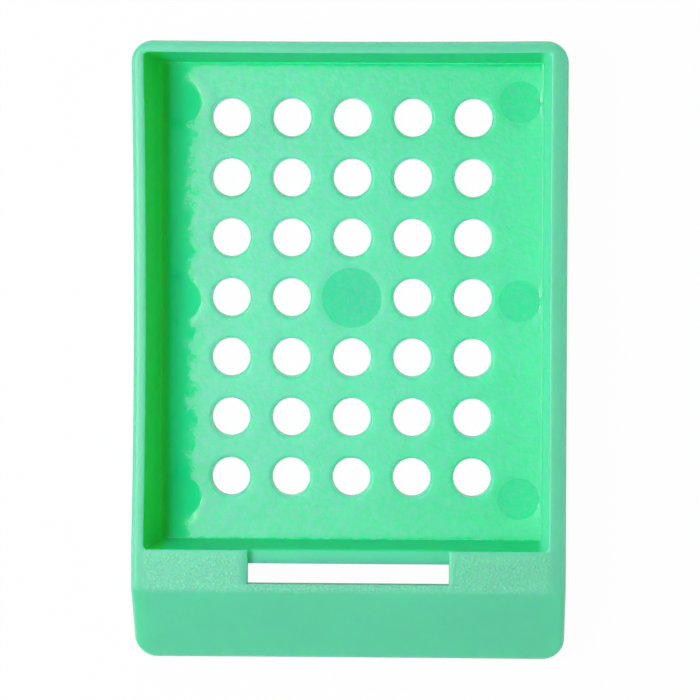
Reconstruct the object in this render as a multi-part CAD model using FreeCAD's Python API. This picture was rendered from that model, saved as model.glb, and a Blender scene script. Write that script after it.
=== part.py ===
"""Base of a tissue cassette: one injection moulding in acetal.

An open tray holds the specimen. Its floor is a sieve of tapered drain holes around a solid gate
pad. In front of the tray lies a level shelf with a slot for the lid's tab, and from the shelf a
writing slope falls to the nose. Shelf and slope are a hollow hood, open underneath.

Axes: +X right, +Y towards the rear wall, +Z up. The origin is the middle of the footprint, on the
plane that the cassette rests on. Lengths are in millimetres and angles in degrees.
"""

import FreeCAD
import Part

import math
import os

# Outside of the moulding, measured at the rim unless it says otherwise.
LENGTH = 40.6  # rear wall to nose
WIDTH = 28.4
HEIGHT = 6.0
OUTER_DRAFT = 1.2  # outside walls lean in towards the base
CORNER_RADIUS = 1.45
RIM_EDGE_RADIUS = 0.35  # rounding of the outer edge of rim, shelf and slope
BASE_EDGE_RADIUS = 0.25  # rounding of the outer edge of the underside

# Tray.
FLOOR_THICKNESS = 1.0
SIDE_WALL = 0.96  # at the rim
REAR_WALL = 0.9  # at the rim
FRONT_WALL = 0.93  # between pocket and slot
POCKET_DRAFT = 6.5  # inside walls open out towards the rim
POCKET_CORNER_RADIUS = 0.3
POCKET_FLOOR_RADIUS = 0.25

# Drain holes and the marks that the mould leaves on the floor.
HOLE_PITCH_X = 4.0
HOLE_PITCH_Y = 3.97
HOLE_DIAMETER = 2.48  # at the underside
HOLE_DRAFT = 11.0  # holes open out towards the tray
HOLE_WEB = 0.06  # least plastic between a hole and a mark
HOLE_END_MARGIN = 3.4  # end of the floor to the nearest row's centre, at least
HOLE_GRID_SHIFT = 0.165  # grid centre behind the floor's centre
GATE_PAD_DIAMETER = 4.0
EJECTOR_DIAMETER = 2.8
EJECTOR_SIDE_INSET = 1.7  # ejector centre to the floor's side
EJECTOR_END_INSET = 2.45  # ejector centre to the floor's end
MARK_DEPTH = 0.05
GATE_DIMPLE_DIAMETER = 2.6
GATE_DIMPLE_DEPTH = 0.3
GATE_STUB_DIAMETER = 0.9
GATE_STUB_HEIGHT = 0.18

# Shelf, slot and writing slope.
SLOPE_ANGLE = 35.0
SLOPE_RUN = 4.8  # length of the slope seen from above
SLOPE_EDGE_RADIUS = 0.8  # rounding between shelf and slope
SLOT_LENGTH = 13.14
SLOT_GAP = 1.28
SLOT_STRIP = 0.42  # level plastic between slot and slope
SLOT_EDGE_RADIUS = 0.12
NOTCH_DEPTH = 0.8  # front wall's top below the shelf, along the slot
HOOD_WALL = 1.0  # thickness of shelf, slope and nose
CHEEK_WALL = 1.1  # thickness of the hood's sides at the base
HOOD_DRAFT = 1.0
HOOD_INNER_RADIUS = 0.3  # inside, along the edges that run across

# Places that follow from the sizes.
OUTER_LEAN = math.tan(math.radians(OUTER_DRAFT))
POCKET_LEAN = math.tan(math.radians(POCKET_DRAFT))
SLOPE_FALL = math.tan(math.radians(SLOPE_ANGLE))
REAR_Y = LENGTH / 2
NOSE_Y = -LENGTH / 2
NOSE_TOP = HEIGHT - SLOPE_RUN * SLOPE_FALL
SLOPE_TOP_Y = NOSE_Y + SLOPE_RUN
SLOT_FRONT_Y = SLOPE_TOP_Y + SLOT_STRIP
SLOT_REAR_Y = SLOT_FRONT_Y + SLOT_GAP
POCKET_FRONT_Y = SLOT_REAR_Y + FRONT_WALL
POCKET_REAR_Y = REAR_Y - REAR_WALL
POCKET_DEPTH = HEIGHT - FLOOR_THICKNESS
FLOOR_INSET = POCKET_DEPTH * POCKET_LEAN
FLOOR_HALF_WIDTH = WIDTH / 2 - SIDE_WALL - FLOOR_INSET
FLOOR_HALF_LENGTH = (POCKET_REAR_Y - POCKET_FRONT_Y) / 2 - FLOOR_INSET
FLOOR_CENTRE_Y = (POCKET_REAR_Y + POCKET_FRONT_Y) / 2
OVERRUN = 1.0  # how far a cutting tool runs past the plastic
TOUCH = 1e-6  # places nearer than this are the same place


def frustum(low, high):
    """Solid between two level rectangles, each (x0, x1, y0, y1, z), with four flat sides."""
    rings = []
    for x0, x1, y0, y1, z in (low, high):
        rings.append([FreeCAD.Vector(x, y, z) for x, y in ((x0, y0), (x1, y0), (x1, y1), (x0, y1))])
    bottom, top = rings
    loops = [bottom[::-1], top]
    for i in range(4):
        j = (i + 1) % 4
        loops.append([bottom[i], bottom[j], top[j], top[i]])
    faces = [Part.Face(Part.makePolygon(loop + loop[:1])) for loop in loops]
    shell = Part.Shell(faces)
    shell.sewShape()
    solid = Part.Solid(shell)
    if solid.Volume < 0:
        solid.reverse()
    return solid


def side_prism(points, x_half):
    """Solid with the outline (y, z) points seen from the side, from -x_half to +x_half."""
    loop = [FreeCAD.Vector(-x_half, y, z) for y, z in points]
    face = Part.Face(Part.makePolygon(loop + loop[:1]))
    return face.extrude(FreeCAD.Vector(2 * x_half, 0, 0))


def box(x0, x1, y0, y1, z0, z1):
    """Plain block between two opposite corners."""
    return Part.makeBox(x1 - x0, y1 - y0, z1 - z0, FreeCAD.Vector(x0, y0, z0))


def edges_where(shape, test):
    """The edges of a shape whose middle point passes the test."""
    found = []
    for edge in shape.Edges:
        middle = edge.valueAt((edge.FirstParameter + edge.LastParameter) / 2)
        if test(middle, edge):
            found.append(edge)
    return found


def is_upright(middle, edge):
    """True for an edge that joins two levels of a frustum."""
    return abs(edge.Vertexes[0].Z - edge.Vertexes[-1].Z) > TOUCH


def outer_body():
    """Solid outside of the moulding: a drafted block whose front top is cut to the slope."""

    def level(z):
        lean = (HEIGHT - z) * OUTER_LEAN
        nose = NOSE_Y + (NOSE_TOP - z) * OUTER_LEAN
        return (-WIDTH / 2 + lean, WIDTH / 2 - lean, nose, REAR_Y - lean, z)

    block = frustum(level(0), level(HEIGHT))
    block = block.makeFillet(CORNER_RADIUS, edges_where(block, is_upright))
    underside = edges_where(block, lambda middle, edge: middle.z < TOUCH)
    block = block.makeFillet(BASE_EDGE_RADIUS, underside)

    above = side_prism(
        [
            (SLOPE_TOP_Y, HEIGHT),
            (NOSE_Y - OVERRUN, NOSE_TOP - OVERRUN * SLOPE_FALL),
            (NOSE_Y - OVERRUN, HEIGHT + OVERRUN),
            (SLOPE_TOP_Y, HEIGHT + OVERRUN),
        ],
        WIDTH,
    )
    body = block.cut(above)

    def on_slope_top(middle, edge):
        return abs(middle.y - SLOPE_TOP_Y) < TOUCH and abs(middle.x) < TOUCH

    body = body.makeFillet(SLOPE_EDGE_RADIUS, edges_where(body, on_slope_top))
    return body.makeFillet(RIM_EDGE_RADIUS, upper_boundary(body))


def upper_boundary(body):
    """Edges around the shelf, rim and slope, where they meet the outside walls."""
    rounding_drop = SLOPE_EDGE_RADIUS * (1 / math.cos(math.radians(SLOPE_ANGLE / 2)) - 1)

    def is_boundary(middle, edge):
        surface = HEIGHT - max(0, SLOPE_TOP_Y - middle.y) * SLOPE_FALL
        at_top = abs(surface - middle.z) < rounding_drop + TOUCH
        at_side = abs(middle.x) > WIDTH / 2 - CORNER_RADIUS
        at_end = middle.y > REAR_Y - CORNER_RADIUS or middle.y < NOSE_Y + TOUCH
        return at_top and (at_side or at_end)

    return edges_where(body, is_boundary)


def pocket():
    """Space inside the tray, wider at the rim than at the floor."""

    def level(z):
        inset = (HEIGHT - z) * POCKET_LEAN
        x = WIDTH / 2 - SIDE_WALL - inset
        return (-x, x, POCKET_FRONT_Y + inset, POCKET_REAR_Y - inset, z)

    space = frustum(level(FLOOR_THICKNESS), level(HEIGHT + OVERRUN))
    space = space.makeFillet(POCKET_CORNER_RADIUS, edges_where(space, is_upright))

    at_floor = edges_where(space, lambda middle, edge: middle.z < FLOOR_THICKNESS + TOUCH)
    return space.makeFillet(POCKET_FLOOR_RADIUS, at_floor)


def hood_hollow():
    """Space under shelf and slope, open at the underside and wider there."""
    lean = math.tan(math.radians(HOOD_DRAFT))
    ceiling = HEIGHT - HOOD_WALL
    slant = HOOD_WALL / math.cos(math.radians(SLOPE_ANGLE))
    corner_y = SLOPE_TOP_Y + (slant - HOOD_WALL) / SLOPE_FALL
    lip_y = NOSE_Y + HOOD_WALL
    lip_z = HEIGHT - slant - (SLOPE_TOP_Y - lip_y) * SLOPE_FALL
    low = -OVERRUN
    profile = [
        (SLOT_REAR_Y + (HEIGHT - low) * lean, low),
        (SLOT_REAR_Y + HOOD_WALL * lean, ceiling),
        (corner_y, ceiling),
        (lip_y, lip_z),
        (lip_y - (lip_z - low) * lean, low),
    ]
    across = side_prism(profile, WIDTH)

    def level(z):
        x = WIDTH / 2 - HEIGHT * OUTER_LEAN - CHEEK_WALL - z * lean
        return (-x, x, NOSE_Y, POCKET_FRONT_Y, z)

    space = across.common(frustum(level(low), level(HEIGHT)))

    def is_crossways(middle, edge):
        return abs(middle.x) < TOUCH and middle.z > low + TOUCH

    return space.makeFillet(HOOD_INNER_RADIUS, edges_where(space, is_crossways))


def lid_slot():
    """Notch across the front wall, and the slot that drops through the shelf in front of it."""
    x = SLOT_LENGTH / 2
    above = HEIGHT + OVERRUN
    notch = box(-x, x, SLOT_FRONT_Y, POCKET_FRONT_Y + OVERRUN, HEIGHT - NOTCH_DEPTH, above)
    slot = box(-x, x, SLOT_FRONT_Y, SLOT_REAR_Y, HEIGHT - HOOD_WALL - OVERRUN, above)
    return notch.fuse(slot)


def soften_slot_edges(body):
    """Round the shelf's edges at both ends of the slot and its notch."""
    x = SLOT_LENGTH / 2

    def at_slot_end(middle, edge):
        across = abs(abs(middle.x) - x) < TOUCH and abs(middle.z - HEIGHT) < TOUCH
        return across and SLOT_FRONT_Y < middle.y < POCKET_FRONT_Y

    return body.makeFillet(SLOT_EDGE_RADIUS, edges_where(body, at_slot_end))


def drain_hole(x, y):
    """Cutter for one hole: a cone that widens upwards."""
    lean = math.tan(math.radians(HOLE_DRAFT))
    r_low = HOLE_DIAMETER / 2 - OVERRUN * lean
    r_high = HOLE_DIAMETER / 2 + (FLOOR_THICKNESS + OVERRUN) * lean
    height = FLOOR_THICKNESS + 2 * OVERRUN
    return Part.makeCone(r_low, r_high, height, FreeCAD.Vector(x, y, -OVERRUN))


def centred_steps(room, pitch):
    """As many evenly spaced positions as fit in the room, centred on zero."""
    gaps = int(room / pitch + TOUCH)
    return [pitch * (i - gaps / 2) for i in range(gaps + 1)]


def hole_centres():
    """Centres of the drain holes: a full grid, less those that would cut the gate pad."""
    mouth = HOLE_DIAMETER / 2 + FLOOR_THICKNESS * math.tan(math.radians(HOLE_DRAFT))
    side_margin = EJECTOR_SIDE_INSET + EJECTOR_DIAMETER / 2 + mouth + HOLE_WEB
    columns = centred_steps(2 * (FLOOR_HALF_WIDTH - side_margin), HOLE_PITCH_X)
    rows = centred_steps(2 * (FLOOR_HALF_LENGTH - HOLE_END_MARGIN), HOLE_PITCH_Y)
    keep_off = GATE_PAD_DIAMETER / 2 + mouth + HOLE_WEB
    centres = []
    for row in rows:
        for x in columns:
            if math.hypot(x, row) > keep_off:
                centres.append((x, FLOOR_CENTRE_Y + HOLE_GRID_SHIFT + row))
    return centres


def disc(x, y, z, diameter, depth):
    """Short cylinder that stands on (x, y, z)."""
    return Part.makeCylinder(diameter / 2, depth, FreeCAD.Vector(x, y, z))


def floor_marks():
    """Shallow round marks on the floor: gate pad in the middle, ejector pins along both sides."""
    z = FLOOR_THICKNESS - MARK_DEPTH
    centre_y = FLOOR_CENTRE_Y + HOLE_GRID_SHIFT
    marks = [disc(0, centre_y, z, GATE_PAD_DIAMETER, OVERRUN)]
    reach = FLOOR_HALF_LENGTH - EJECTOR_END_INSET
    for side in (-1, 1):
        x = side * (FLOOR_HALF_WIDTH - EJECTOR_SIDE_INSET)
        for y in (-reach, 0, reach):
            marks.append(disc(x, FLOOR_CENTRE_Y + y, z, EJECTOR_DIAMETER, OVERRUN))
    return marks


def gate_dimple():
    """Recess under the gate pad that keeps the snapped gate's stub clear of the bench."""
    centre_y = FLOOR_CENTRE_Y + HOLE_GRID_SHIFT
    ring = disc(0, centre_y, -OVERRUN, GATE_DIMPLE_DIAMETER, OVERRUN + GATE_DIMPLE_DEPTH)
    stub_base = GATE_DIMPLE_DEPTH - GATE_STUB_HEIGHT
    stub = disc(0, centre_y, stub_base, GATE_STUB_DIAMETER, GATE_STUB_HEIGHT + OVERRUN)
    return ring.cut(stub)


def cassette_base():
    """The whole moulding."""
    body = outer_body()
    body = body.cut(pocket())
    body = body.cut(hood_hollow())
    body = body.cut(lid_slot())
    body = soften_slot_edges(body)
    body = body.cut(Part.makeCompound(floor_marks()))
    body = body.cut(gate_dimple())
    body = body.cut(Part.makeCompound([drain_hole(x, y) for x, y in hole_centres()]))
    return body.Solids[0]


os.makedirs("parts", exist_ok=True)
base = cassette_base()
base.exportStep("parts/cassette_base.step")
print("cassette_base: volume %.1f mm3, valid %s" % (base.Volume, base.isValid()))
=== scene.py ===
"""A green tissue cassette base, dressed for a studio table: camera, bench, lamps and acetal.

The moulding is one piece of acetal. Lengths named in millimetres are turned into metres by MM.
"""

import math

import bpy
import numpy as np
from mathutils import Matrix, Vector


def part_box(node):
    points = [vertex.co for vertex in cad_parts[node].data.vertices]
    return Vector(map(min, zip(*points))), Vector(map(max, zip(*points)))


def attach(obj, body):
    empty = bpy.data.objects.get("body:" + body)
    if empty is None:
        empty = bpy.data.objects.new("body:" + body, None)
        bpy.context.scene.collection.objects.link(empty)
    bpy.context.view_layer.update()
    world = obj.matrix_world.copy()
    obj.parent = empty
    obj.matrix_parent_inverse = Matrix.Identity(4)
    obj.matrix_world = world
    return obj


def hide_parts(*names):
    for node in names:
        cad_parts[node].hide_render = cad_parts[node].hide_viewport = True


MM = 0.001

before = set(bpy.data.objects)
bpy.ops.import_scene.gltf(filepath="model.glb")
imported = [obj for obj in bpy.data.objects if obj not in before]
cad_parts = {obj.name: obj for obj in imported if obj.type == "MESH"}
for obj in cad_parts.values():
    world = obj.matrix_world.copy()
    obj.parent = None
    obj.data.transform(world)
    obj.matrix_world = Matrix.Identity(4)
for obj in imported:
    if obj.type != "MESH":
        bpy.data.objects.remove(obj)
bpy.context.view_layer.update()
low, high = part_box("cassette_base")
rim_middle = Vector(((low.x + high.x) / 2, (low.y + high.y) / 2, high.z))

# ---- Form of the moulding, in millimetres and radians ----

# Outside, as in the solid model.
HALF_WIDTH, HALF_LENGTH, HEIGHT = 14.2, 20.3, 6.0
WALL_TILT = math.radians(1.2)  # outside walls lean in towards the base
WALL_LEAN = math.tan(WALL_TILT)
CORNER = 1.45
RIM_ROUND, BASE_ROUND = 0.35, 0.25
SLOPE = math.radians(35)
SLOPE_TOP, SLOPE_ROUND = -15.5, 0.8
NOSE_TOP = HEIGHT - (HALF_LENGTH + SLOPE_TOP) * math.tan(SLOPE)

# Tray, at the rim, and its floor.
TRAY_HALF_WIDTH, TRAY_FRONT, TRAY_REAR = 13.24, -12.87, 19.4
FLOOR_TOP = 1.0
TRAY_DRAFT = math.radians(6.5)  # inside walls open out towards the rim
FOOT_INSET = (HEIGHT - FLOOR_TOP) * math.tan(TRAY_DRAFT)  # from a wall's rim edge to its foot
TRAY_CORNER = 0.3
FLOOR_ROUND, LIP_ROUND = 0.15, 0.1
FLOOR_MIDDLE = (TRAY_FRONT + TRAY_REAR) / 2

# Sieve: tapered holes on a grid.
PITCH_X, PITCH_Y, COLUMNS, ROWS = 4.0, 3.97, 5, 7
GRID_MIDDLE = 3.43
HOLE_RADIUS, HOLE_DRAFT, HOLE_ROUND = 1.24, math.radians(4), 0.2
MOUTH_HEIGHT, MOUTH_FLARE = 0.04, 0.03  # broken edge of a hole at the underside

# Round marks of the mould: three rows of ejector pins, one to each side of PIN_MIDDLE, and the pad
# opposite the gate, whose dimple and snapped stub are underneath.
PIN_MIDDLE, PIN_SIDE, PIN_STEP, PIN_RADIUS = -0.1, 11.2, 13.115, 1.4
PAD_RADIUS = 2.0
MARK_DEPTH, MARK_BEVEL = 0.05, 0.3
DIMPLE_RADIUS, DIMPLE_DEPTH, STUB_RADIUS, STUB_HEIGHT = 1.3, 0.3, 0.45, 0.18
DIMPLE_DRAFT, STUB_MIDDLE = 0.02, 0.2

# Slot, notch and hood.
SLOT_HALF, SLOT_FRONT, SLOT_REAR = 6.57, -15.08, -13.8
NOTCH_FLOOR, NOTCH_ROUND = 5.2, 0.15
HOOD_WALL, CHEEK_WALL = 1.0, 1.1  # thickness of shelf, slope and nose, and of the hood's sides
HOOD_TOP, HOOD_LEAN = HEIGHT - HOOD_WALL, math.tan(math.radians(1))
HOOD_SIDE = HALF_WIDTH - HEIGHT * WALL_LEAN - CHEEK_WALL
HOOD_FRONT = HOOD_WALL - HALF_LENGTH
HOOD_BREAK = SLOPE_TOP + HOOD_WALL * (1 / math.cos(SLOPE) - 1) / math.tan(SLOPE)
HOOD_FRONT_TOP = HOOD_TOP - (HOOD_BREAK - HOOD_FRONT) * math.tan(SLOPE)

# Warp of the cooled moulding: how far its walls bow in between the corners, and how far the tray's
# walls stand off their nominal place: side walls at the rim, rear wall at every height, and front
# wall at its foot.
BOW_LEFT, BOW_RIGHT, BOW_REAR, BOW_NOSE = 0.18, 0.02, 0.07, 0.05
BOW_HALF_LENGTH, BOW_HALF_WIDTH = 16.2, 13.2
SIDE_SHIFT, REAR_SHIFT, FOOT_SHIFT = 0.17, 0.15, 0.3
SIDE_FADE, REAR_FADE, FRONT_FADE, NOSE_FADE = (12, 12.6), (18.2, 18.8), (11.2, 11.8), (17, 19)
RIM_FADE = 0.4

# Steps of the mesh.
CELL = 16  # along each side of one hole's square
ROUNDING, WALL_STEPS, RIM_STEPS = 4, 6, 3  # foot rounding, wall, and rim edge or level rim
PROFILE_STEPS = ROUNDING + WALL_STEPS + 2 * RIM_STEPS
SIDE_MARGIN, FRONT_MARGIN, REAR_MARGIN = 12, 8, 6  # from the sieve's edge to the foot rounding
SLOT_STEPS, SLOPE_ARC_STEPS, SLOPE_STEPS = 7, 5, 24
RIM_ARC_STEPS, SIDE_STEPS, BASE_ARC_STEPS = 5, 5, 4
HOOD_WALL_STEPS, HOOD_FOOT_STEPS = 5, 3
HOLE_LIP_STEPS, HOLE_CONE_STEPS = 5, 3
NOTCH_STEP, SLOT_STEP = 0.002, 0.003  # how far a line stands off an upright edge beside it
WELD = 1 / 91731.7  # an odd step, so that no place lies on the boundary between two of them
TOUCH, TINY = 1e-6, 1e-9
SHARP = math.radians(38)


def ramp(value, start, end):
    """0 at start and 1 at end, straight between them and level beyond."""
    return np.clip((value - start) / (end - start), 0, 1)


def steps(start, end, count):
    """count places from just after start to end, evenly spaced."""
    return list(np.linspace(start, end, count + 1)[1:])


def rounding(radius, turn, count):
    """Places along an arc that joins two straight lines at a corner, as two arrays: how far along
    the first line's direction from the corner, and how far off that line."""
    tangent = radius * math.tan(turn / 2)
    angle = np.linspace(0, turn, count + 1)
    return -tangent + radius * np.sin(angle), radius * (1 - np.cos(angle))


def tray_profile(edge, start, margin_steps, outer):
    """Line places and heights from the sieve's edge outwards: floor, foot rounding, drafted wall,
    softened rim edge and level rim. The wall rises from the floor at 90 degrees less its draft."""
    foot = edge - FOOT_INSET
    turn = math.pi / 2 - TRAY_DRAFT
    along, rise = rounding(FLOOR_ROUND, turn, ROUNDING)
    places = steps(start, foot + along[0], margin_steps) + list(foot + along[1:])
    heights = [FLOOR_TOP] * margin_steps + list(FLOOR_TOP + rise[1:])
    along, rise = rounding(LIP_ROUND, turn, RIM_STEPS)
    lip_places, lip_heights = edge - along[::-1], HEIGHT - rise[::-1]
    places += steps(places[-1], lip_places[0], WALL_STEPS) + list(lip_places[1:])
    heights += steps(heights[-1], lip_heights[0], WALL_STEPS) + list(lip_heights[1:])
    places += steps(places[-1], outer, RIM_STEPS)
    heights += [HEIGHT] * RIM_STEPS
    return places, heights


def top_surface(y):
    """Height and tilt of rim, shelf and slope at y: level, then an arc of SLOPE_ROUND, then the
    straight slope."""
    reach = SLOPE_ROUND * math.tan(SLOPE / 2)
    tilt = np.arcsin(np.clip((SLOPE_TOP + reach - y) / SLOPE_ROUND, 0, math.sin(SLOPE)))
    arc = HEIGHT - SLOPE_ROUND * (1 - np.cos(tilt))
    straight = HEIGHT - (SLOPE_TOP - y) * math.tan(SLOPE)
    return np.where(tilt >= SLOPE - TINY, straight, arc), tilt


def ball_inset(y):
    """Half width where the rim's rounding starts: a ball of RIM_ROUND that touches the top surface
    and the leaning side wall."""
    height, tilt = top_surface(y)
    centre = height - RIM_ROUND * np.cos(tilt)
    return HALF_WIDTH - (HEIGHT - centre) * WALL_LEAN - RIM_ROUND / math.cos(WALL_TILT)


def nose_start():
    """The y where the rounding of the nose starts: the same ball, between slope and nose wall. Its
    height depends on its place, so the place is worked out again until it settles."""
    y = -HALF_LENGTH
    for _ in range(20):
        height = float(top_surface(np.array(y))[0]) - RIM_ROUND * math.cos(SLOPE)
        wall = -HALF_LENGTH + (NOSE_TOP - height) * WALL_LEAN
        y = wall + RIM_ROUND / math.cos(WALL_TILT) - RIM_ROUND * math.sin(SLOPE)
    return y


def corner_turn(p, q):
    """Unit direction for a place (p, q) on the edge of a unit square, turned so that the edge
    becomes a quarter circle: the angle grows evenly along each side."""
    p, q = np.clip(p, 0, 1), np.clip(q, 0, 1)
    longer = np.maximum(np.maximum(p, q), TINY)
    angle = np.pi / 4 * np.minimum(p, q) / longer
    return np.where(p >= q, np.cos(angle), np.sin(angle)), np.where(p >= q, np.sin(angle), np.cos(angle))


def round_corners(x, y, centre_x, rear, front, radius):
    """Bend a level grid so that its four outer corners become arcs. In each corner square a place
    keeps its larger offset as radius and turns by corner_turn, and this fades in over the outer
    half of the square."""
    middle = (rear + front) / 2
    side, end = np.sign(x), np.sign(y - middle)
    reach = np.where(end > 0, rear, -front)
    p, q = (np.abs(x) - centre_x) / radius, (y * end - reach) / radius
    larger = np.maximum(p, q)
    share = np.where((p > 0) & (q > 0), ramp(larger, 0.5, 1), 0)
    to_x, to_y = corner_turn(p, q)
    new_p, new_q = p + share * (larger * to_x - p), q + share * (larger * to_y - q)
    return side * (centre_x + radius * new_p), end * (reach + radius * new_q)


# Lines of the level grid. n counts the lines in front of the sieve outwards from its edge.
SIEVE_HALF, SIEVE_DEPTH = PITCH_X * COLUMNS / 2, PITCH_Y * ROWS / 2
SIEVE_X, SIEVE_Y = COLUMNS * CELL, ROWS * CELL
SIDE_LINES = SIDE_MARGIN + PROFILE_STEPS
NOTCH_N = FRONT_MARGIN + ROUNDING + 1
SLOT_REAR_N = FRONT_MARGIN + PROFILE_STEPS
SLOT_FRONT_N = SLOT_REAR_N + SLOT_STEPS
FRONT_LINES = SLOT_FRONT_N + 2 + SLOPE_ARC_STEPS + SLOPE_STEPS
SLOT_LINE = 26  # lines from the middle to the end of the slot
TURN_LINES = 10  # lines over which the tray's lines turn into the slot's


def lines_across():
    """Places and heights of the grid's lines from left to right, through the tray."""
    outer = float(ball_inset(np.array(0.0)))
    places, heights = tray_profile(TRAY_HALF_WIDTH, SIEVE_HALF, SIDE_MARGIN, outer)
    middle = np.linspace(-SIEVE_HALF, SIEVE_HALF, SIEVE_X + 1)
    x = np.concatenate((-np.array(places)[::-1], middle, places))
    z = np.concatenate((heights[::-1], np.full(SIEVE_X + 1, FLOOR_TOP), heights))
    return x, z


def lines_across_slot():
    """The same lines where they pass the slot: the vertical end of the notch takes two of them and
    its rounded edge two more. The heights are those of the notch."""
    half = SIEVE_X // 2
    halfway = NOTCH_ROUND * (1 - math.sqrt(0.5))
    place = steps(0, SLOT_HALF, SLOT_LINE) + [SLOT_HALF + NOTCH_STEP]
    place += [SLOT_HALF + halfway, SLOT_HALF + NOTCH_ROUND]
    place += steps(place[-1], SIEVE_HALF, half - len(place))
    height = [NOTCH_FLOOR] * (SLOT_LINE + 1) + [HEIGHT - NOTCH_ROUND, HEIGHT - halfway]
    height += [HEIGHT] * (half + 1 - len(height) + SIDE_LINES)
    x, _ = lines_across()
    x[SIDE_LINES : SIDE_LINES + SIEVE_X + 1] = np.concatenate((-np.array(place)[::-1], [0], place))
    return x, np.concatenate((height[:0:-1], height))


def lines_along():
    """Places and heights of the grid's lines from the nose to the rear, and each line's n."""
    front, front_heights = tray_profile(-TRAY_FRONT, SIEVE_DEPTH - GRID_MIDDLE, FRONT_MARGIN, -SLOT_REAR)
    level = -SLOPE_TOP - SLOPE_ROUND * math.tan(SLOPE / 2)
    arc_end = -SLOPE_TOP + SLOPE_ROUND * math.tan(SLOPE / 2) * math.cos(SLOPE)
    front += steps(-SLOT_REAR, -SLOT_FRONT, SLOT_STEPS) + [-SLOT_FRONT + SLOT_STEP, level]
    front += steps(level, arc_end, SLOPE_ARC_STEPS) + steps(arc_end, -nose_start(), SLOPE_STEPS)
    front_heights += [HEIGHT] * (FRONT_LINES - len(front_heights))
    rear_start = HALF_LENGTH - RIM_ROUND * WALL_LEAN - RIM_ROUND / math.cos(WALL_TILT)
    rear, rear_heights = tray_profile(TRAY_REAR, GRID_MIDDLE + SIEVE_DEPTH, REAR_MARGIN, rear_start)
    middle = GRID_MIDDLE + np.linspace(-SIEVE_DEPTH, SIEVE_DEPTH, SIEVE_Y + 1)
    y = np.concatenate((-np.array(front)[::-1], middle, rear))
    z = np.concatenate((front_heights[::-1], np.full(SIEVE_Y + 1, FLOOR_TOP), rear_heights))
    return y, z, FRONT_LINES - np.arange(len(y))


def round_tray_corners(x, y, z):
    """Give the tray's upright corners their radius: on each level the last TRAY_CORNER before the
    corner bends to an arc around it, evenly by angle. Floor and rim stay level."""
    wall_reach, level_reach = 0.03, 0.02  # nearer than this is on the wall, or level with its ends
    inset = (HEIGHT - z) * math.tan(TRAY_DRAFT)
    end = np.where(y > FLOOR_MIDDLE, TRAY_REAR - inset, TRAY_FRONT + inset)
    side_gap = np.maximum(TRAY_HALF_WIDTH - inset - np.abs(x), 0)
    end_gap = np.maximum(np.abs(end - FLOOR_MIDDLE) - np.abs(y - FLOOR_MIDDLE), 0)
    gap = np.maximum(side_gap, end_gap)
    on_wall = (np.minimum(side_gap, end_gap) < wall_reach) & (gap < TRAY_CORNER)
    inside = on_wall & (z > FLOOR_TOP + level_reach) & (z < HEIGHT - level_reach)
    angle = np.pi / 4 * (1 - gap / TRAY_CORNER)
    short, long = TRAY_CORNER * (1 - np.cos(angle)), TRAY_CORNER * (1 - np.sin(angle))
    by_side = side_gap <= end_gap
    x_in, y_in = np.where(by_side, short, long), np.where(by_side, long, short)
    x_new = np.sign(x) * (TRAY_HALF_WIDTH - inset - x_in)
    y_new = FLOOR_MIDDLE + np.sign(y - FLOOR_MIDDLE) * (np.abs(end - FLOOR_MIDDLE) - y_in)
    return np.where(inside, x_new, x), np.where(inside, y_new, y)


def upper_grid():
    """Tray, rim, shelf and slope as one level grid of x lines and y lines. In the tray the height is
    the greater of the two profiles, in the notch the lesser of it and the notch's, and elsewhere the
    top surface. Gives the grid, and its flat plan before the corners are bent."""
    x_tray, across = lines_across()
    x_slot, notch = lines_across_slot()
    y_line, along, n = lines_along()
    share = ramp(n, FRONT_MARGIN, FRONT_MARGIN + TURN_LINES)[None, :]
    x = x_tray[:, None] * (1 - share) + x_slot[:, None] * share
    y = np.broadcast_to(y_line, x.shape).copy()

    flat_edge = x_tray[-1 - RIM_STEPS]
    stretch = (ball_inset(y) - flat_edge) / (x_tray[-1] - flat_edge)
    past = np.maximum(np.abs(x) - flat_edge, 0)
    x = np.sign(x) * (np.minimum(np.abs(x), flat_edge) + past * stretch)
    plan = (x, y)

    z = np.maximum(across[:, None], along[None, :])
    in_tray = z < HEIGHT
    x, y = round_tray_corners(x, y, z)
    arc = CORNER - RIM_ROUND
    x, y = round_corners(x, y, ball_inset(y) - arc, y_line[-1] - arc, y_line[0] + arc, arc)
    z = np.where(in_tray, z, top_surface(y)[0])
    in_notch = (n >= NOTCH_N) & (n <= SLOT_FRONT_N)
    z = np.where(in_notch[None, :], np.minimum(z, notch[:, None]), z)
    return np.stack((x, y, z), axis=-1), plan


def around(grid):
    """The outer edge of a grid as one closed loop, anticlockwise from above."""
    return np.concatenate((grid[:-1, 0], grid[-1, :-1], grid[:0:-1, -1], grid[0, :0:-1]))


def arc_between(centre, radius, start, end, count):
    """Rings of places on a ball around each centre, turning evenly from one unit direction to
    another."""
    turn = np.arccos(np.clip((start * end).sum(-1), -1, 1))[:, None]
    share = np.linspace(0, 1, count + 1)[:, None, None]
    way = np.sin((1 - share) * turn) * start + np.sin(share * turn) * end
    return centre + radius * way / np.sin(turn)


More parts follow.
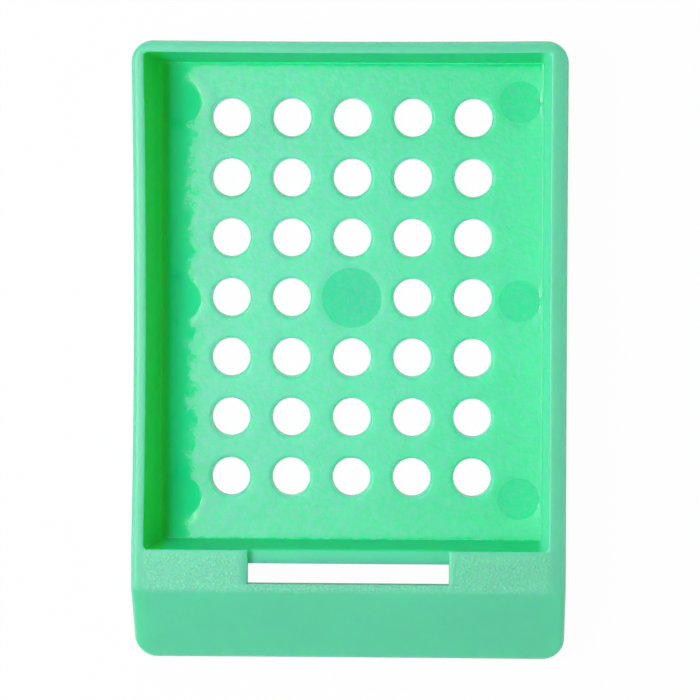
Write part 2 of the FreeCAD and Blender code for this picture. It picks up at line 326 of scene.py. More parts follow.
def outside_rings(grid, plan):
    """Rings around the moulding from the edge of the upper grid down to the underside: the rim's
    rounding, the leaning wall and the base's rounding, each tangent to the next. Round a corner
    each wall keeps its full lean while at least a third of the outward direction is its own."""
    edge = around(grid)
    x, y = around(plan[0]), around(plan[1])
    arc = CORNER - RIM_ROUND
    rear, front = y.max() - arc, y.min() + arc
    end = np.where(y > 0, y - rear, front - y)
    to_x, to_y = corner_turn((np.abs(x) - ball_inset(y) + arc) / arc, end / arc)
    outward = np.stack((to_x * np.sign(x), to_y * np.sign(y)), axis=-1)
    tilt = top_surface(edge[:, 1])[1]
    zero = np.zeros_like(tilt)
    up = np.stack((zero, -np.sin(tilt), np.cos(tilt)), axis=-1)
    drop = np.full((len(edge), 1), -math.sin(WALL_TILT))
    wall = np.concatenate((outward * math.cos(WALL_TILT), drop), axis=1)
    rim = arc_between(edge - RIM_ROUND * up, RIM_ROUND, up, wall, RIM_ARC_STEPS)

    foot_height = BASE_ROUND * (1 - math.sin(WALL_TILT))
    fall = rim[-1][:, 2:] - foot_height
    lean = np.sign(outward) * np.minimum(1, 3 * np.abs(outward)) * WALL_LEAN
    foot = rim[-1] - np.concatenate((lean * fall, fall), axis=1)
    share = np.linspace(0, 1, SIDE_STEPS + 1)[1:-1, None, None]
    side = rim[-1] * (1 - share) + foot * share
    down = np.broadcast_to([0.0, 0.0, -1.0], wall.shape)
    base = arc_between(foot - BASE_ROUND * wall, BASE_ROUND, wall, down, BASE_ARC_STEPS)
    return np.concatenate((rim, side, base))


def lower_grid(edge):
    """Underside with the hollow hood, on the same lines as the upper grid: the hood's height is the
    lesser of its two profiles. Its outer edge is the last ring of the outside."""
    x_tray, _ = lines_across()
    y_line, _, n = lines_along()
    reach = (edge[:, 0].max(), edge[:, 1].min(), edge[:, 1].max())
    x_tray[0], x_tray[-1] = -reach[0], reach[0]
    y_line[0], y_line[-1] = reach[1], reach[2]

    ceiling = SIDE_LINES - HOOD_WALL_STEPS - HOOD_FOOT_STEPS
    side_heights = np.linspace(HOOD_TOP, 0, HOOD_WALL_STEPS + 1)[1:]
    places = steps(SIEVE_HALF, HOOD_SIDE - HOOD_TOP * HOOD_LEAN, ceiling)
    places += list(HOOD_SIDE - side_heights * HOOD_LEAN) + steps(HOOD_SIDE, reach[0], HOOD_FOOT_STEPS)
    across = np.array([HOOD_TOP] * ceiling + list(side_heights) + [0.0] * HOOD_FOOT_STEPS)
    inner = np.array(steps(0, SLOT_HALF, SLOT_LINE) + steps(SLOT_HALF, SIEVE_HALF, SIEVE_X // 2 - SLOT_LINE))
    x_hood = np.concatenate((-np.array(places)[::-1], -inner[::-1], [0], inner, places))
    across = np.concatenate((across[::-1], np.full(SIEVE_X + 1, HOOD_TOP), across))

    level = SLOT_REAR_N - HOOD_WALL_STEPS - 1
    slant = SLOPE_ARC_STEPS + SLOPE_STEPS - HOOD_WALL_STEPS - HOOD_FOOT_STEPS
    rear_heights = np.linspace(0, HOOD_TOP, HOOD_WALL_STEPS + 1)[1:]
    y_hood = steps(SIEVE_DEPTH - GRID_MIDDLE, -SLOT_REAR - HEIGHT * HOOD_LEAN, level)
    y_hood += list(-SLOT_REAR - (HEIGHT - rear_heights) * HOOD_LEAN) + [-SLOT_REAR]
    y_hood += steps(-SLOT_REAR, -SLOT_FRONT, SLOT_STEPS) + [-SLOT_FRONT + SLOT_STEP, -HOOD_BREAK]
    y_hood += steps(-HOOD_BREAK, -HOOD_FRONT, slant)
    lip = -HOOD_FRONT + HOOD_FRONT_TOP * HOOD_LEAN
    y_hood += steps(-HOOD_FRONT, lip, HOOD_WALL_STEPS) + steps(lip, -reach[1], HOOD_FOOT_STEPS)
    along = [0.0] * level + list(rear_heights) + [HOOD_TOP] * (SLOT_STEPS + 3)
    along += steps(HOOD_TOP, HOOD_FRONT_TOP, slant)
    along += steps(HOOD_FRONT_TOP, 0, HOOD_WALL_STEPS) + [0.0] * HOOD_FOOT_STEPS
    y_under, along_all = y_line.copy(), np.zeros_like(y_line)
    y_under[:FRONT_LINES], along_all[:FRONT_LINES] = -np.array(y_hood)[::-1], along[::-1]

    share_x = ramp(n, 0, level) * ramp(n, FRONT_LINES, FRONT_LINES - HOOD_FOOT_STEPS)
    x = x_tray[:, None] * (1 - share_x) + x_hood[:, None] * share_x
    column = np.arange(len(x_tray))
    share_y = ramp(np.minimum(column, column[::-1]), 0, HOOD_FOOT_STEPS)[:, None]
    y = y_line * (1 - share_y) + y_under * share_y
    z = np.minimum(across[:, None], along_all[None, :])
    arc = CORNER - BASE_ROUND
    x, y = round_corners(x, y, reach[0] - arc, reach[2] - arc, reach[1] + arc, arc)
    grid = np.stack((x, y, z), axis=-1)
    count_x, count_y = len(x_tray) - 1, len(y_line) - 1
    grid[:-1, 0] = edge[:count_x]
    grid[-1, :-1] = edge[count_x : count_x + count_y]
    grid[:0:-1, -1] = edge[count_x + count_y : 2 * count_x + count_y]
    grid[0, :0:-1] = edge[2 * count_x + count_y :]
    return grid


def square_ring():
    """One hole's square on the grid, anticlockwise from its right lower corner, as offsets."""
    line = np.linspace(-1, 1, CELL + 1)[:-1]
    one = np.ones(CELL)
    sides = ((one, line), (-line, one), (-one, -line), (line, -one))
    return np.concatenate([np.stack(side, axis=-1) for side in sides]) * (PITCH_X / 2, PITCH_Y / 2)


def ring_directions():
    """Even directions for the places of square_ring, from the square's corner onwards."""
    angle = -math.pi / 4 + np.arange(4 * CELL) * 2 * math.pi / (4 * CELL)
    return np.stack((np.cos(angle), np.sin(angle)), axis=-1)


def turned_rings(profile, through):
    """Rings of one square cell: level from the square to the profile's first circle, along the
    profile of (radius, height) pairs, and out to the square again for a hole that goes through.
    A level ring lies at a share of the way from the square to the circle."""
    square, way = square_ring(), ring_directions()
    rings = [(share, *profile[0]) for share in (0, 0.3, 0.55, 0.8)]
    rings += [(1, radius, height) for radius, height in profile]
    rings += [(share, *profile[-1]) for share in (0.5, 0)] if through else []
    share, radius, height = (np.array(values)[:, None, None] for values in zip(*rings))
    flat = square * (1 - share) + way * radius * share
    return np.concatenate((flat, np.broadcast_to(height, flat.shape[:2] + (1,))), axis=-1)


def hole_rings():
    """One drain hole: rounded lip, cone that narrows by HOLE_DRAFT, and its mouth underneath."""
    top = HOLE_RADIUS + FLOOR_TOP * math.tan(HOLE_DRAFT)
    along, drop = rounding(HOLE_ROUND, math.pi / 2 - HOLE_DRAFT, HOLE_LIP_STEPS)
    lip = list(zip(top - along, FLOOR_TOP - drop))
    heights = steps(lip[-1][1], MOUTH_HEIGHT, HOLE_CONE_STEPS)
    cone = [(HOLE_RADIUS + height * math.tan(HOLE_DRAFT), height) for height in heights]
    return turned_rings(lip + cone + [(HOLE_RADIUS + MOUTH_FLARE, 0.0)], through=True)


def dimple_rings():
    """Recess under the gate pad with the snapped gate's stub in its middle."""
    floor, stub = DIMPLE_DEPTH, DIMPLE_DEPTH - STUB_HEIGHT
    profile = [(DIMPLE_RADIUS, 0.0), (DIMPLE_RADIUS - DIMPLE_DRAFT, floor)]
    profile += [(STUB_RADIUS + DIMPLE_DRAFT, floor), (STUB_RADIUS, stub), (STUB_MIDDLE, stub), (0.0, stub)]
    return turned_rings(profile, through=False)


def mark_depth(x, y):
    """Depth of the round marks below the floor: full inside each circle, and straight down to it
    over MARK_BEVEL outside."""
    row = (y - FLOOR_MIDDLE + PIN_STEP / 2) % PIN_STEP - PIN_STEP / 2
    row = np.where(np.abs(y - FLOOR_MIDDLE) < 1.5 * PIN_STEP, row, PIN_STEP)
    past_pin = np.hypot(np.abs(x - PIN_MIDDLE) - PIN_SIDE, row) - PIN_RADIUS
    past_pad = np.hypot(x, y - GRID_MIDDLE) - PAD_RADIUS
    return MARK_DEPTH * ramp(np.minimum(past_pin, past_pad), MARK_BEVEL, 0)


def cooled(points):
    """The moulding as it cooled. Its long walls, its rear wall and its nose bow in between the
    corners: the bow is a parabola along the wall that grows with height. On top of that the tray's
    side walls lean to the left, most at the rim, its rear wall stands back at every height, and the
    front wall's foot stands forward. All of it grows from nothing over the last stretch before a
    wall, given by its FADE, and what the tray's walls do fades out again over RIM_FADE of the rim."""
    x, y, z = points.T
    rise = ramp(z, FLOOR_TOP, HEIGHT)
    along = 1 - np.clip((y - FLOOR_MIDDLE) / BOW_HALF_LENGTH, -1, 1) ** 2
    across = 1 - np.clip(x / BOW_HALF_WIDTH, -1, 1) ** 2
    left, right, rear = ramp(-x, *SIDE_FADE), ramp(x, *SIDE_FADE), ramp(y, *REAR_FADE)
    front, nose = ramp(-y, *FRONT_FADE), ramp(-y, *NOSE_FADE)
    past_x = np.abs(x) - TRAY_HALF_WIDTH - LIP_ROUND
    past_y = np.maximum(y - TRAY_REAR, TRAY_FRONT - y) - LIP_ROUND
    near = ramp(np.maximum(past_x, past_y), RIM_FADE, 0)
    bow_x = rise * along * (BOW_LEFT * left - BOW_RIGHT * right)
    bow_y = across * (BOW_NOSE * nose * z / HEIGHT - BOW_REAR * rise * rear)
    lean_x = -SIDE_SHIFT * rise * near * (left + right)
    lean_y = near * (REAR_SHIFT * rear - FOOT_SHIFT * (1 - rise) * front)
    return np.stack((x + bow_x + lean_x, y + bow_y + lean_y, z), axis=-1)


def patch(grid, hole=None, loop=False, flip=False):
    """Faces of a grid of places as an array (faces, 4, 3). Cells marked in hole stay open, and a
    loop joins its last column to its first."""
    if loop:
        grid = np.concatenate((grid, grid[:, :1]), axis=1)
    corners = [grid[:-1, :-1], grid[1:, :-1], grid[1:, 1:], grid[:-1, 1:]]
    faces = np.stack(corners[::-1] if flip else corners, axis=2)
    return faces[~hole] if hole is not None else faces.reshape(-1, 4, 3)


def moulding_faces():
    """Every face of the moulding: upper and lower grid, outside rings, holes, dimple and slot."""
    upper, plan = upper_grid()
    rings = outside_rings(upper, plan)
    lower = lower_grid(rings[-1])
    shape = (upper.shape[0] - 1, upper.shape[1] - 1)
    open_above, open_below = np.zeros(shape, bool), np.zeros(shape, bool)
    slot_x = (SIDE_LINES + SIEVE_X // 2 - SLOT_LINE, SIDE_LINES + SIEVE_X // 2 + SLOT_LINE)
    slot_y = (FRONT_LINES - SLOT_FRONT_N, FRONT_LINES - SLOT_REAR_N)
    for cells in (open_above, open_below):
        cells[slot_x[0] : slot_x[1], slot_y[0] : slot_y[1]] = True
        cells[SIDE_LINES : SIDE_LINES + SIEVE_X, FRONT_LINES : FRONT_LINES + SIEVE_Y] = True
    pad_x = SIDE_LINES + COLUMNS // 2 * CELL
    pad_y = FRONT_LINES + ROWS // 2 * CELL
    open_above[pad_x : pad_x + CELL, pad_y : pad_y + CELL] = False

    # Every square of the sieve has a hole except the middle one, which holds the gate pad.
    columns = [column - COLUMNS // 2 for column in range(COLUMNS)]
    rows = [row - ROWS // 2 for row in range(ROWS)]
    centres = [(PITCH_X * i, GRID_MIDDLE + PITCH_Y * j, 0) for i in columns for j in rows if i or j]
    hole = patch(hole_rings(), loop=True, flip=True)
    holes = (hole[None] + np.array(centres)[:, None, None, :]).reshape(-1, 4, 3)
    dimple = patch(dimple_rings(), loop=True) + np.array([0, GRID_MIDDLE, 0])

    window = np.s_[slot_x[0] : slot_x[1] + 1, slot_y[0] : slot_y[1] + 1]
    slot_walls = np.stack((around(upper[window]), around(lower[window])))
    return np.concatenate(
        (
            patch(upper, open_above),
            patch(lower, open_below, flip=True),
            patch(rings, loop=True),
            patch(slot_walls, loop=True, flip=True),
            holes,
            dimple,
        )
    )


def moulding():
    """The dressed moulding. Corners of faces that lie in one place, to WELD of a millimetre, become
    one vertex, and a face that has lost a corner so becomes a triangle. Then the round marks are
    sunk and the whole is warped. Edges sharper than SHARP stay sharp under smooth shading."""
    faces = moulding_faces()
    keys = np.round(faces.reshape(-1, 3) / WELD).astype(np.int64)
    _, first, corner = np.unique(keys, axis=0, return_index=True, return_inverse=True)
    points = faces.reshape(-1, 3)[first]
    on_floor = np.abs(points[:, 2] - FLOOR_TOP) < TOUCH
    points[:, 2] -= np.where(on_floor, mark_depth(points[:, 0], points[:, 1]), 0)
    points = cooled(points) * MM

    corner = corner.reshape(-1, 4)
    repeats = corner == np.roll(corner, -1, axis=1)
    whole = ~repeats.any(axis=1)
    thin = repeats.sum(axis=1) == 1
    triangles = corner[thin][~repeats[thin]].reshape(-1, 3)
    loops = np.concatenate((corner[whole].ravel(), triangles.ravel()))
    counts = np.concatenate((np.full(whole.sum(), 4), np.full(len(triangles), 3)))
    mesh = bpy.data.meshes.new("moulding")
    mesh.vertices.add(len(points))
    mesh.vertices.foreach_set("co", points.astype(np.float32).ravel())
    mesh.loops.add(len(loops))
    mesh.loops.foreach_set("vertex_index", loops.astype(np.int32))
    mesh.polygons.add(len(counts))
    mesh.polygons.foreach_set("loop_start", (np.cumsum(counts) - counts).astype(np.int32))
    mesh.update(calc_edges=True)
    mesh.validate()
    mesh.polygons.foreach_set("use_smooth", np.ones(len(mesh.polygons), bool))
    mesh.set_sharp_from_angle(angle=SHARP)
    return mesh


def linear(hex_code):
    """Linear RGBA of an sRGB hex colour."""
    parts = [int(hex_code[i : i + 2], 16) / 255 for i in (1, 3, 5)]
    return [c / 12.92 if c <= 0.04045 else ((c + 0.055) / 1.055) ** 2.4 for c in parts] + [1.0]


def add_node(tree, kind, inputs=None, **settings):
    """Add a node, change its own settings, and give its inputs values, sockets, or other nodes,
    which stand for their first output."""
    node = tree.nodes.new(kind)
    for name, value in settings.items():
        setattr(node, name, value)
    for name, value in (inputs or {}).items():
        if isinstance(value, bpy.types.Node):
            value = value.outputs[0]
        if isinstance(value, bpy.types.NodeSocket):
            tree.links.new(value, node.inputs[name])
        else:
            node.inputs[name].default_value = value
    return node


def new_material(name):
    """Empty node material."""
    material = bpy.data.materials.new(name)
    material.use_nodes = True
    material.node_tree.nodes.clear()
    return material


# ---- Finish of the moulding, with lengths in millimetres ----

# The moulding is acetal, injected green: a waxy, satin plastic. Light enters it and comes out again
# nearby, so the solid rim looks milky. Most other zones paint light and shade into the colour: the
# tray's walls are painted the deeper, purer green of their shade, its floor a bright green for the
# bench's light glowing through it, the left wall and the floor beside it darker still for their
# shade, and the slope and notch greener. The outer rounding, the right wall, the hole bores and a
# sheen on the floor are painted paler, as lit. A mould's skin that was eroded, on the shelf, looks
# paler. Each zone lies over the ones before it.
RIM_COLOUR = "#6AD6B3"
ZONE_COLOURS = {
    # Painted light: the slope, a thin wall over the hollow hood, is painted greener than the rim for the
    # bench's light that passes through it.
    "slope": "#57DEAF",
    # Painted reflection: the outer rounding is painted paler for the white surroundings it reflects at a
    # grazing view.
    "outside": "#7CDBBC",
    "shelf": "#76E1BA",
    "pebbles": "#9EF1D4",
    # Painted light: the notch's recess is painted greener, lifting the shade that falls in it.
    "notch": "#55DFB1",
    # Painted shade: the tray's walls take the deep, pure green of their shade.
    "tray": "#01D489",
    # Painted light: the right wall, which faces the key lamp, is painted paler, as lit.
    "right wall": "#65F3C4",
    # Painted glow and shade: the floor is painted a bright, pure green for the bench's light glowing through
    # it, which is also the green of its shade where no painted sheen lies over it.
    "floor": "#01FAA8",
    # Painted shade: the left wall, turned away from the key lamp, and the shadow it casts on the floor
    # beside it.
    "left wall": "#01D03C",
    # Painted light: the foot of the left wall is painted lighter, lifting the shade of the corner.
    "left foot": "#01E54B",
    # Painted sheen: the key lamp's pale sheen on the grained floor, with the end of the left wall's shadow
    # as its ragged left edge.
    "painted_sheen": "#81EDCE",
    # Specks of the grain, painted pale as glints, only under the painted sheen.
    "specks": "#9EF1D4",
    # Painted light: the bores of the holes are painted pale, lit by the bench below.
    "bore": "#81F6CE",
}
RIM_ROUGHNESS = 0.45
ZONE_ROUGHNESS = {"tray": 0.65, "floor": 0.18, "grain_and_sheen": 0.5, "left wall": 0.65}
REFRACTION, GLOSS = 1.48, 0.8
SCATTER_REACH = 1.5  # how far light spreads inside, in full for green and less for red and blue
SCATTER_SHARES = (0.2, 1.0, 0.35)

# Patterns: repeats per millimetre, and how many finer layers each has. Spark-eroded grain is about
# 0.05 mm wide, too fine to show, so its pebbles are drawn 0.22 mm wide and the mottle of the
# painted sheen 0.45.
PATTERNS = {"drift": (0.35, 2), "ragged": (1.3, 3), "mottle": (2.2, 3)}
PEBBLE_SCALE, PEBBLE_EDGE = 4.6, (0.6, 0.15)
DRIFT = 0.05  # how far the whole colour drifts to lighter and darker
FLOOR_GRAIN, SHELF_GRAIN = 0.04, 0.06  # relief

# The key lamp's painted sheen on the tray floor: middle and softness of its left edge, where the
# left wall's shadow ends, how far its edges wander, and how far its front and rear edges reach. Its
# strength changes from left to right, and off the marks it falls away from the lamp.
SHEEN_LEFT, SHEEN_SOFTNESS = -10.45, 0.6
LEFT_WANDER, END_WANDER = 2.4, 0.4
SHEEN_FRONT, SHEEN_REAR = (0.35, 0.85), (0.35, -0.35)
SHEEN_MOTTLE, SHEEN_AT_RIGHT, SHEEN_ON_MARKS = 0.42, 0.6, 0.56
SPECKS = 0.35


def mark_distances(tree, x, y):
    """Two sockets: the distance from the nearest pin mark's centre, and from the gate pad's. The
    rows of pins repeat, so the place along them is wrapped to one step."""
    row = add_node(tree, "ShaderNodeMath", {0: y, 1: -FLOOR_MIDDLE}, operation="ADD")
    row = add_node(tree, "ShaderNodeMath", {0: row, 1: PIN_STEP / 2, 2: -PIN_STEP / 2}, operation="WRAP")
    across = add_node(tree, "ShaderNodeMath", {0: x, 1: -PIN_MIDDLE}, operation="ADD")
    across = add_node(tree, "ShaderNodeMath", {0: across}, operation="ABSOLUTE")
    across = add_node(tree, "ShaderNodeMath", {0: across, 1: -PIN_SIDE}, operation="ADD")
    along = add_node(tree, "ShaderNodeMath", {0: y, 1: -GRID_MIDDLE}, operation="ADD")
    distances = []
    for first, second in ((across, row), (x, along)):
        offset = add_node(tree, "ShaderNodeCombineXYZ", {0: first, 1: second})
        length = add_node(tree, "ShaderNodeVectorMath", {0: offset}, operation="LENGTH")
        distances.append(length.outputs["Value"])
    return distances


def zone_limits(x, y, z, side, outside, off_slot, ragged_x, ragged_y):
    """Each zone's limits, as a list of (value, where the zone's share is 0, where it is 1). The
    small offsets say how softly a zone ends beside the edge that it follows."""
    inside = [
        (side, TRAY_HALF_WIDTH + 0.4, TRAY_HALF_WIDTH + 0.2),
        (y, TRAY_FRONT - 0.15, TRAY_FRONT),
        (y, TRAY_REAR + 0.4, TRAY_REAR + 0.2),
        (z, HEIGHT, HEIGHT - 0.25),
    ]
    floor = inside + [(z, FLOOR_TOP + 0.25, FLOOR_TOP + 0.03)]
    left, rear = LEFT_WANDER / 2 + SHEEN_LEFT, TRAY_REAR - FOOT_INSET
    below_marks = FLOOR_TOP - MARK_DEPTH
    return {
        "slope": [(y, SLOPE_TOP + 0.3, SLOPE_TOP - 0.3)],
        "outside": [(outside, 0, 1)],
        "shelf": [
            (side, TRAY_HALF_WIDTH + 0.4, TRAY_HALF_WIDTH - 0.6),
            (y, TRAY_FRONT, TRAY_FRONT - 0.6),
            (y, SLOPE_TOP - 0.3, SLOPE_TOP + 0.2),
            (z, HEIGHT - 0.3, HEIGHT - 0.1),
            (off_slot, 0, 1),
        ],
        "notch": [
            (side, SLOT_HALF + 0.2, SLOT_HALF + 0.05),
            (y, SLOT_REAR - 0.15, SLOT_REAR - 0.05),
            (y, TRAY_FRONT + 0.3, TRAY_FRONT + 0.2),
            (z, HEIGHT, HEIGHT - 0.3),
            (z, HOOD_TOP, HOOD_TOP + 0.1),
        ],
        "tray": inside,
        # Painted shade on the left wall and painted shadow on the floor beside it.
        "left wall": inside + [(x, -11.7, -12.6)],
        # Painted light lifting the shade at the left wall's foot.
        "left foot": inside + [(x, -12.1, -12.5), (z, FLOOR_TOP + 1.2, FLOOR_TOP)],
        # Painted light on the right wall, lit by the key lamp.
        "right wall": inside + [(x, 12.3, 12.7)],
        "floor": floor,
        # Painted sheen of the key lamp, its left edge where the left wall's shadow ends.
        "painted_sheen": floor
        + [
            (ragged_x, left - SHEEN_SOFTNESS, left + SHEEN_SOFTNESS),
            (ragged_y, TRAY_FRONT + SHEEN_FRONT[0], TRAY_FRONT + SHEEN_FRONT[1]),
            (ragged_y, rear + SHEEN_REAR[0], rear + SHEEN_REAR[1]),
        ],
        # Painted light in the hole bores.
        "bore": inside + [(z, below_marks - 0.02, below_marks - 0.15)],
    }


def moulded_acetal():
    """Injection-moulded acetal. The eye sees a satin, slightly milky green: plain on rim and slope,
    finely pebbled on the spark-eroded shelf, and mottled under a pale painted sheen with a ragged edge
    on the tray floor, where the marks of pins and gate stay smooth. Zone colours also paint in the
    light and shade of the tray, its walls and bores, the notch, the slope and the outer edge."""
    material = new_material("moulded_acetal")
    tree = material.node_tree
    place = add_node(tree, "ShaderNodeTexCoord").outputs["Object"]
    place = add_node(tree, "ShaderNodeVectorMath", {0: place, "Scale": 1 / MM}, operation="SCALE")
    x, y, z = add_node(tree, "ShaderNodeSeparateXYZ", {0: place}).outputs
    side = add_node(tree, "ShaderNodeMath", {0: x}, operation="ABSOLUTE")

    pattern = {}
    for name, (scale, detail) in PATTERNS.items():
        inputs = {"Vector": place, "Scale": scale, "Detail": detail, "Roughness": 0.6}
        pattern[name] = add_node(tree, "ShaderNodeTexNoise", inputs)
    pattern["grain"] = add_node(tree, "ShaderNodeMath", {0: pattern["mottle"], 1: -0.5}, operation="ADD")
    cells = add_node(tree, "ShaderNodeTexVoronoi", {"Vector": place, "Scale": PEBBLE_SCALE})
    dots = {0: cells, 1: PEBBLE_EDGE[0], 2: PEBBLE_EDGE[1]}
    pattern["pebble"] = add_node(tree, "ShaderNodeMapRange", dots)
    ragged_x, ragged_y = (
        add_node(tree, "ShaderNodeMath", {0: pattern["ragged"], 1: reach, 2: axis}, operation="MULTIPLY_ADD")
        for reach, axis in ((LEFT_WANDER, x), (END_WANDER, y))
    )

    # 0 on a round mark and 1 off it, over 0.1 mm.
    off_marks = 1.0
    for distance, radius in zip(mark_distances(tree, x, y), (PIN_RADIUS, PAD_RADIUS)):
        past = add_node(tree, "ShaderNodeMapRange", {0: distance, 1: radius - 0.05, 2: radius + 0.05})
        off_marks = add_node(tree, "ShaderNodeMath", {0: off_marks, 1: past}, operation="MULTIPLY")

    # The shelf's grain stops short of the slot: 0 beside and behind it, 1 past its ends or front.
    off_slot = 0.0
    for where, start, end in (
        (side, SLOT_HALF + 0.2, SLOT_HALF + 0.9),
        (y, SLOT_FRONT + 0.05, SLOT_FRONT - 0.1),
    ):
        past = add_node(tree, "ShaderNodeMapRange", {0: where, 1: start, 2: end})
        off_slot = add_node(tree, "ShaderNodeMath", {0: off_slot, 1: past}, operation="MAXIMUM")

    # The outer edge, painted paler as a reflection of the white surroundings: 1 on the rounding of the side,
    # rear and nose.
    outside = 0.0
    for where, start, end in (
        (side, HALF_WIDTH - 0.35, HALF_WIDTH - 0.08),
        (y, HALF_LENGTH - 0.35, HALF_LENGTH - 0.08),
        (y, 0.3 - HALF_LENGTH, 0.05 - HALF_LENGTH),
    ):
        edge = {0: where, 1: start, 2: end}
        edge = add_node(tree, "ShaderNodeMapRange", edge, interpolation_type="SMOOTHSTEP")
        outside = add_node(tree, "ShaderNodeMath", {0: outside, 1: edge}, operation="MAXIMUM")

    # A zone's share is the product of smooth ramps between its limits.
    share = {}
    for name, limits in zone_limits(x, y, z, side, outside, off_slot, ragged_x, ragged_y).items():
        share[name] = 1.0
        for where, start, end in limits:
            limit = {0: where, 1: start, 2: end}
            limit = add_node(tree, "ShaderNodeMapRange", limit, interpolation_type="SMOOTHSTEP")
            share[name] = add_node(tree, "ShaderNodeMath", {0: share[name], 1: limit}, operation="MULTIPLY")

    # The painted sheen is mottled, thinner to the right, away from the key lamp, and thin or missing on
    # the smooth marks. Pebbles and specks are small round dots, and the specks lie only under the painted
    # sheen. The shelf's stand out where the mottle is high, and on the left, where they are painted
    # brighter for the key lamp's sheen.
    grain_and_sheen = {0: share["painted_sheen"], 1: off_marks}
    share["grain_and_sheen"] = add_node(tree, "ShaderNodeMath", grain_and_sheen, operation="MULTIPLY")
    on_mark = add_node(tree, "ShaderNodeMapRange", {0: x, 1: -9.0, 2: 0.0, 3: 0.0, 4: SHEEN_ON_MARKS})
    off_mark = add_node(tree, "ShaderNodeMapRange", {0: x, 1: -9.0, 2: 9.0, 3: 1.0, 4: SHEEN_AT_RIGHT})
    strength = add_node(tree, "ShaderNodeMapRange", {0: off_marks, 3: on_mark, 4: off_mark})
    mottle = {0: pattern["mottle"], 1: 0.36, 2: 0.62, 3: 1 - SHEEN_MOTTLE}
    mottle = add_node(tree, "ShaderNodeMapRange", mottle)
    # Painted sheen: the shelf's pebbles are painted brighter on the left, nearer the key lamp, fading to the
    # right.
    lit = add_node(tree, "ShaderNodeMapRange", {0: x, 1: -12.0, 2: 12.0, 3: 1.1, 4: 0.5})
    high = add_node(tree, "ShaderNodeMapRange", {0: pattern["mottle"], 1: 0.4, 2: 0.6, 3: 0.35, 4: 0.9})
    for name, base, factors in (
        ("painted_sheen", "painted_sheen", (strength, mottle)),
        ("specks", "painted_sheen", (pattern["pebble"], SPECKS)),
        ("pebbles", "shelf", (pattern["pebble"], lit, high)),
    ):
        share[name] = share[base]
        for factor in factors:
            share[name] = add_node(tree, "ShaderNodeMath", {0: share[name], 1: factor}, operation="MULTIPLY")

    colour = linear(RIM_COLOUR)
    for name, code in ZONE_COLOURS.items():
        layer = {0: share[name], 6: colour, 7: linear(code)}
        colour = add_node(tree, "ShaderNodeMix", layer, data_type="RGBA").outputs[2]
    tint = add_node(tree, "ShaderNodeMapRange", {0: pattern["drift"], 3: 1 - DRIFT, 4: 1 + DRIFT})
    colour = add_node(tree, "ShaderNodeVectorMath", {0: colour, "Scale": tint}, operation="SCALE")

    rough = RIM_ROUGHNESS
    for name, value in ZONE_ROUGHNESS.items():
        rough = add_node(tree, "ShaderNodeMix", {0: share[name], 2: rough, 3: value})

    # The grain's relief: on the shelf, where the mould was eroded, and on the floor only under the painted
    # sheen.
    relief = 0.0
    for zone, name, depth in (("grain_and_sheen", "grain", FLOOR_GRAIN), ("shelf", "pebble", SHELF_GRAIN)):
        depth = add_node(tree, "ShaderNodeMath", {0: share[zone], 1: depth}, operation="MULTIPLY")
        inputs = {0: pattern[name], 1: depth, 2: relief}
        relief = add_node(tree, "ShaderNodeMath", inputs, operation="MULTIPLY_ADD")
    bump = add_node(tree, "ShaderNodeBump", {"Strength": 1.0, "Distance": MM, "Height": relief})

    surface = add_node(
        tree,
        "ShaderNodeBsdfPrincipled",
        {
            "Base Color": colour,
            "Roughness": rough,
            "IOR": REFRACTION,
            "Specular IOR Level": GLOSS,
            "Subsurface Weight": 1.0,
            "Subsurface Radius": SCATTER_SHARES,
            "Subsurface Scale": SCATTER_REACH * MM,
            "Normal": bump,
        },
    )
    add_node(tree, "ShaderNodeOutputMaterial", {"Surface": surface})
    return material


# ---- Bench, lamps and camera, in metres and degrees ----

BENCH_HALF, BENCH_GAP = 0.6, 0.1 * MM  # the gap keeps the bench clear of the underside
BENCH_COLOUR, BENCH_WHITE = "#F4F4F4", 0.97

# A small lamp close above, to the left, gives the tray's walls their shade and sheen. Four large
# ones low around the moulding fill that shade.
KEY_LAMP = dict(side=-27, rear=1, distance=0.15, width=0.046, strength=23)
FILL_LAMP = dict(distance=0.5, width=0.5, strength=1.1)
FILL_LEAN = 60
SKY_STRENGTH = 0.05

LENS, SENSOR = 209.8, 36  # in millimetres
EYE_DISTANCE = 0.265
EYE_SIDE, EYE_REAR, EYE_ROLL = 2.17, 2.96, 0.19
EYE_AIM = Vector((0.095, 0.242, 0)) * MM  # from the middle of the rim's plane


def white_laminate():
    """Matt white laminate. The eye and reflections see it as an even white that keeps a trace of
    the moulding's shadow, while the moulding is lit by its plain matt paint."""
    material = new_material("white_laminate")
    tree = material.node_tree
    path = add_node(tree, "ShaderNodeLightPath").outputs
    seen = path["Is Camera Ray"]
    for ray in ("Is Glossy Ray", "Is Transmission Ray"):
        seen = add_node(tree, "ShaderNodeMath", {0: seen, 1: path[ray]}, operation="ADD", use_clamp=True)
    share = add_node(tree, "ShaderNodeMath", {0: seen, 1: BENCH_WHITE}, operation="MULTIPLY")
    paint = add_node(tree, "ShaderNodeBsdfDiffuse", {"Color": linear(BENCH_COLOUR)})
    white = add_node(tree, "ShaderNodeEmission", {"Color": linear("#FFFFFF"), "Strength": 1.0})
    mixed = add_node(tree, "ShaderNodeMixShader", {0: share, 1: paint, 2: white})
    add_node(tree, "ShaderNodeOutputMaterial", {"Surface": mixed})
    return material


def bench():
    """Level square just below the moulding."""
    height = low.z - BENCH_GAP
    corners = [(BENCH_HALF * a, BENCH_HALF * b, height) for a, b in ((-1, -1), (1, -1), (1, 1), (-1, 1))]
    mesh = bpy.data.meshes.new("bench")
    mesh.from_pydata(corners, [], [(0, 1, 2, 3)])
    mesh.materials.append(white_laminate())
    top = bpy.data.objects.new("bench", mesh)
    bpy.context.scene.collection.objects.link(top)


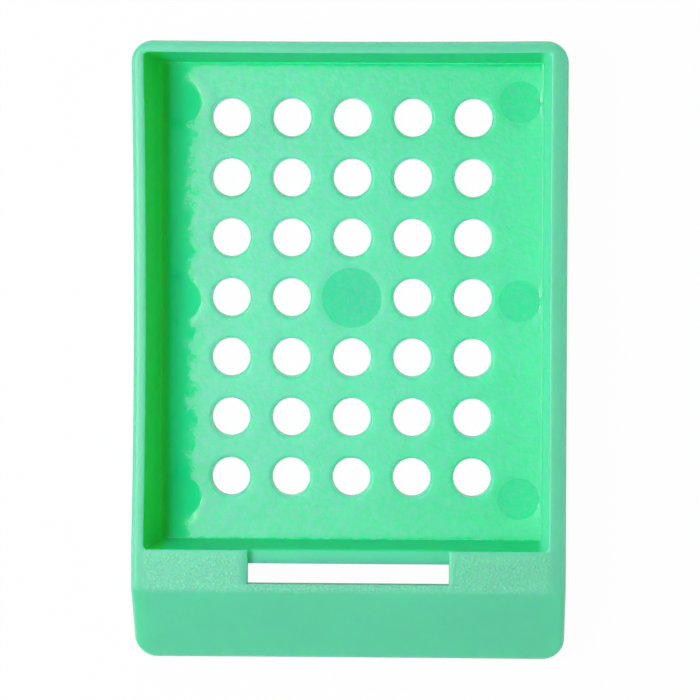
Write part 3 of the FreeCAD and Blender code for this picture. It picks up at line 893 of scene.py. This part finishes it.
def leaning(side, rear):
    """Unit direction upwards that leans by two angles in degrees, to the right and to the rear."""
    across, along = math.sin(math.radians(side)), math.sin(math.radians(rear))
    return Vector((across, along, math.sqrt(1 - across**2 - along**2)))


def towards(position, target, up):
    """Rotation that looks from position to target with up upwards."""
    back = (position - target).normalized()
    right = up.cross(back).normalized()
    return Matrix((right, back.cross(right), back)).transposed().to_quaternion()


def place_at(data, position, target, up):
    """Put a lamp or camera at a position, looking to its target."""
    item = bpy.data.objects.new(data.name, data)
    item.location = position
    item.rotation_mode = "QUATERNION"
    item.rotation_quaternion = towards(item.location, target, up)
    bpy.context.scene.collection.objects.link(item)
    return item


def lamp(name, side, rear, distance, width, strength):
    """Round lamp above the rim's middle. Its power is its radiance times pi times its area."""
    light = bpy.data.lights.new(name, "AREA")
    light.shape = "DISK"
    light.size = width
    light.energy = strength * math.pi * math.pi * width**2 / 4
    place_at(light, rim_middle + leaning(side, rear) * distance, rim_middle, Vector((0, 1, 0.1)))


def studio():
    """Lamps, world and camera."""
    lamp("key", **KEY_LAMP)
    for name, side, rear in (("left", -1, 0), ("right", 1, 0), ("front", 0, -1), ("rear", 0, 1)):
        lamp(name + "_wall", side * FILL_LEAN, rear * FILL_LEAN, **FILL_LAMP)
    world = bpy.data.worlds.new("studio")
    bpy.context.scene.world = world
    world.use_nodes = True
    sky = world.node_tree.nodes["Background"].inputs
    sky["Color"].default_value = linear("#FFFFFF")
    sky["Strength"].default_value = SKY_STRENGTH

    camera = bpy.data.cameras.new("camera")
    camera.sensor_width, camera.lens = SENSOR, LENS
    camera.clip_start, camera.clip_end = 0.01, 10
    aim = rim_middle + EYE_AIM
    roll = math.radians(EYE_ROLL)
    upwards = Vector((-math.sin(roll), math.cos(roll), 0))
    eye = place_at(camera, aim + EYE_DISTANCE * leaning(EYE_SIDE, EYE_REAR), aim, upwards)
    bpy.context.scene.camera = eye
    bpy.context.scene.view_settings.view_transform = "Standard"


mesh = moulding()
mesh.materials.append(moulded_acetal())
cassette = bpy.data.objects.new("moulding", mesh)
bpy.context.scene.collection.objects.link(cassette)
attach(cassette, "root")
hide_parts("cassette_base")
bench()
studio()
